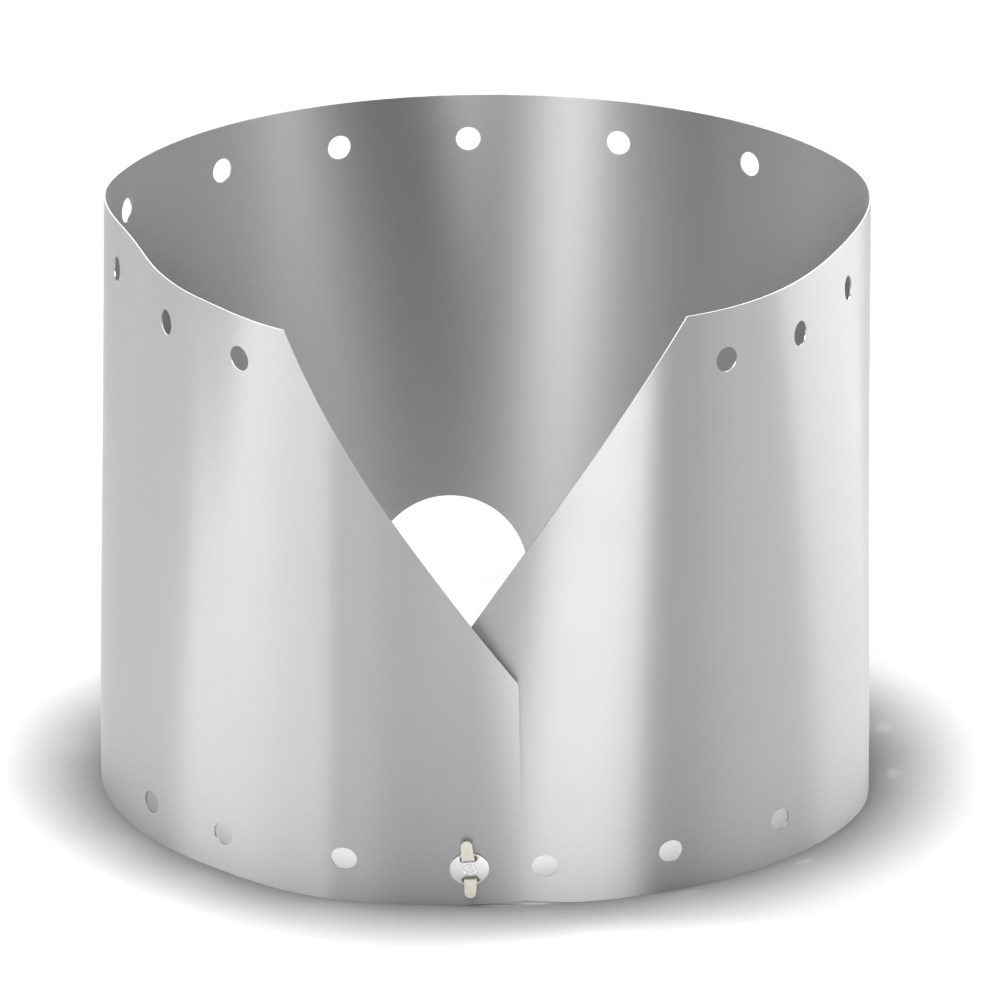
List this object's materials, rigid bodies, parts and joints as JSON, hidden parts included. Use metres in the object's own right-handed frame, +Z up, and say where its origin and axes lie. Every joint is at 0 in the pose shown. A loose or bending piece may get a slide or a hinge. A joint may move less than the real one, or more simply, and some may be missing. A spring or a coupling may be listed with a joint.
{
  "type": "stove windscreen",
  "caption": "Rolled sheet-metal windscreen ring for a camping spirit stove, with a V notch for a pot handle, vent holes, an air arch at the back and a folded-prong fastener.",
  "frame": {"origin": "on the surface that the ring stands on, under the middle of the object's box", "axes": "+Z up along the ring's axis, -Y towards the overlap, the V notch and the fastener, +X to the right as seen from the front"},
  "size_m": [0.1574, 0.1626, 0.12],
  "materials": {
    "sheet_metal": "satin",
    "washer_metal": "bright",
    "strip_metal": "cream, satin"
  },
  "bodies": {
    "ring": {"windscreen_sheet": "sheet_metal"},
    "fastener": {"outer_washer": "washer_metal", "inner_washer": "washer_metal", "prong_strip": "strip_metal"},
    "upper_prong": {"upper_prong": "strip_metal"},
    "lower_prong": {"lower_prong": "strip_metal"}
  },
  "joints": [
    {"name": "fastener_turn", "type": "hinge", "parent": "ring", "child": "fastener", "pos_m": [0.00077, -0.07674, 0.0078], "axis": [0, -1, 0], "continuous": true},
    {"name": "upper_prong_bend", "type": "hinge", "parent": "fastener", "child": "upper_prong", "pos_m": [0.00054, -0.07799, 0.00999], "axis": [0.9945, 0, 0.1045], "range_deg": [0, 90]},
    {"name": "lower_prong_bend", "type": "hinge", "parent": "fastener", "child": "lower_prong", "pos_m": [0.001, -0.07799, 0.00561], "axis": [-1, 0, 0], "range_deg": [0, 90]}
  ]
}
